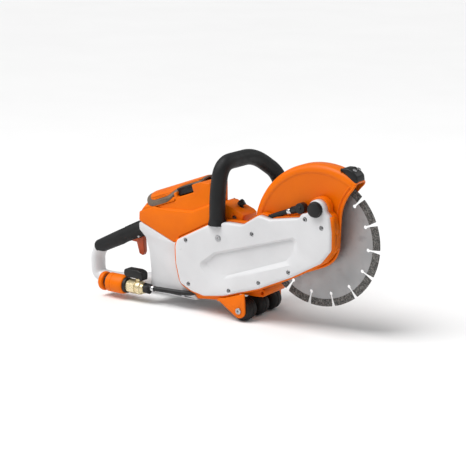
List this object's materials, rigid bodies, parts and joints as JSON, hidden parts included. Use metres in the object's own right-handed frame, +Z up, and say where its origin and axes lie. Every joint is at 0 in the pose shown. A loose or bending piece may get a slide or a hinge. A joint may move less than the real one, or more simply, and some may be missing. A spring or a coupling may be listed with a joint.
{
  "type": "cut-off saw",
  "caption": "Battery cut-off saw with a segmented diamond disc under a turning guard, belt-drive arm, hoop front handle, looped rear handle, water line and ground rollers.",
  "frame": {"origin": "middle of the saw's footprint, on the ground it stands on", "axes": "+X forward to the cutting disc, +Y the operator's left, +Z up"},
  "size_m": [0.631, 0.1958, 0.289],
  "materials": {
    "white_shell": "satin moulded, fine texture",
    "orange_shell": "satin moulded",
    "orange_metal": "satin powder coat",
    "dark_plastic": "fine moulded texture",
    "trigger_plastic": "satin moulded",
    "grip_rubber": "soft satin",
    "roller_plastic": "turned, worn on the tread",
    "hose_rubber": "smooth",
    "disc_steel": "ground in rings",
    "diamond_grit": "rough sintered",
    "bright_steel": "machined",
    "screw_steel": "zinc plated",
    "chrome_fitting": "polished",
    "valve_brass": "nickel-washed brass",
    "motor_copper": "enamelled windings",
    "board_green": "lacquered",
    "cell_blue": "shrink sleeve",
    "filter_paper": "pleated"
  },
  "bodies": {
    "saw": {"belt_cover": "white_shell", "cover_screws": "screw_steel", "belt_tensioner": "bright_steel", "arm_frame": "orange_metal", "spindle_bearings": "bright_steel", "motor_stator": "motor_copper", "motor_bearings": "bright_steel", "drive_belt": "hose_rubber", "control_board": "board_green", "battery_terminals": "motor_copper", "housing_right": "white_shell", "housing_left": "white_shell", "housing_screws": "screw_steel", "top_shell": "orange_shell", "air_filter": "filter_paper", "rear_loop": "white_shell", "rear_grip": "grip_rubber", "trigger_pins": "bright_steel", "trigger_switch": "dark_plastic", "front_handle_tube": "bright_steel", "front_handle_grip": "grip_rubber", "front_handle_collar": "dark_plastic", "roller_brackets": "orange_metal", "roller_axle": "bright_steel", "water_hose": "hose_rubber", "hose_ferrules": "chrome_fitting", "hose_elbow": "dark_plastic", "valve_body": "valve_brass", "hose_nut": "dark_plastic", "hose_coupling": "orange_shell"},
    "disc": {"spindle": "bright_steel", "spindle_pulley": "bright_steel", "inner_flange": "bright_steel", "cutting_disc_core": "disc_steel", "diamond_segments": "diamond_grit", "outer_flange": "bright_steel", "arbor_bolt": "bright_steel"},
    "motor": {"motor_rotor": "bright_steel", "motor_pulley": "bright_steel", "motor_fan": "dark_plastic"},
    "guard": {"guard_shell": "orange_metal", "guard_grip": "dark_plastic", "guard_grip_screws": "screw_steel", "guard_spray_nozzles": "dark_plastic"},
    "clamp_knob": {"guard_clamp_knob": "dark_plastic"},
    "filter_lid": {"filter_cover": "orange_shell"},
    "lid_latch": {"filter_latch": "dark_plastic"},
    "battery": {"battery_case": "dark_plastic", "battery_cells": "cell_blue", "battery_rim": "dark_plastic", "battery_cap": "orange_shell"},
    "right_lock": {"battery_lock_right": "dark_plastic"},
    "left_lock": {"battery_lock_left": "dark_plastic"},
    "lockout": {"lockout_lever": "dark_plastic"},
    "throttle": {"trigger": "trigger_plastic"},
    "right_roller": {"roller_right": "roller_plastic"},
    "middle_roller": {"roller_middle": "roller_plastic"},
    "left_roller": {"roller_left": "roller_plastic"},
    "water_valve": {"valve_lever": "dark_plastic"},
    "collar": {"coupling_collar": "orange_shell"}
  },
  "joints": [
    {"name": "disc_spin", "type": "hinge", "parent": "saw", "child": "disc", "pos_m": [0.2005, -0.033, 0.157], "axis": [0, 1, 0], "continuous": true},
    {"name": "motor_spin", "type": "hinge", "parent": "saw", "child": "motor", "pos_m": [0.0145, -0.033, 0.095], "axis": [0, 1, 0], "continuous": true},
    {"name": "guard_turn", "type": "hinge", "parent": "saw", "child": "guard", "pos_m": [0.2005, -0.033, 0.157], "axis": [0, 1, 0], "range_deg": [-30, 25]},
    {"name": "clamp_knob_turn", "type": "hinge", "parent": "saw", "child": "clamp_knob", "pos_m": [0.2195, -0.073, 0.22], "axis": [0, 1, 0], "range_deg": [0, 180]},
    {"name": "filter_lid_lift", "type": "hinge", "parent": "saw", "child": "filter_lid", "pos_m": [0.0095, -0.03, 0.198], "axis": [0, 1, 0], "range_deg": [-25, 0]},
    {"name": "lid_latch_turn", "type": "hinge", "parent": "filter_lid", "child": "lid_latch", "pos_m": [0.0375, -0.027, 0.195], "axis": [0, 0, 1], "range_deg": [0, 90]},
    {"name": "battery_slide", "type": "slide", "parent": "saw", "child": "battery", "axis": [-0.342, 0, 0.9397], "range_m": [0, 0.11]},
    {"name": "right_lock_press", "type": "hinge", "parent": "saw", "child": "right_lock", "pos_m": [-0.06014, -0.0541, 0.21099], "axis": [0.9397, 0, 0.342], "range_deg": [0, 18], "stiffness_Nm_per_rad": 0.3},
    {"name": "left_lock_press", "type": "hinge", "parent": "saw", "child": "left_lock", "pos_m": [-0.06014, 0.0261, 0.21099], "axis": [0.9397, 0, 0.342], "range_deg": [-18, 0], "stiffness_Nm_per_rad": 0.3},
    {"name": "lockout_press", "type": "hinge", "parent": "saw", "child": "lockout", "pos_m": [-0.1935, -0.017, 0.121], "axis": [0, 1, 0], "range_deg": [-6, 0], "stiffness_Nm_per_rad": 0.4, "springref_deg": 2.86},
    {"name": "trigger_pull", "type": "hinge", "parent": "saw", "child": "throttle", "pos_m": [-0.1935, -0.017, 0.107], "axis": [0, 1, 0], "range_deg": [0, 12], "stiffness_Nm_per_rad": 0.5, "springref_deg": -2.86},
    {"name": "right_roller_spin", "type": "hinge", "parent": "saw", "child": "right_roller", "pos_m": [0.0665, -0.06, 0.02], "axis": [0, 1, 0], "continuous": true},
    {"name": "middle_roller_spin", "type": "hinge", "parent": "saw", "child": "middle_roller", "pos_m": [0.0665, -0.02, 0.02], "axis": [0, 1, 0], "continuous": true},
    {"name": "left_roller_spin", "type": "hinge", "parent": "saw", "child": "left_roller", "pos_m": [0.0665, 0.02, 0.02], "axis": [0, 1, 0], "continuous": true},
    {"name": "valve_turn", "type": "hinge", "parent": "saw", "child": "water_valve", "pos_m": [-0.1545, -0.078, 0.052], "axis": [0, 0, 1], "range_deg": [0, 90]},
    {"name": "collar_slide", "type": "slide", "parent": "saw", "child": "collar", "axis": [1, 0, 0], "range_m": [0, 0.006], "stiffness_N_per_m": 300}
  ],
  "couplings": [
    {"joint": "motor_spin", "follows": "disc_spin", "ratio": 2.1538}
  ]
}
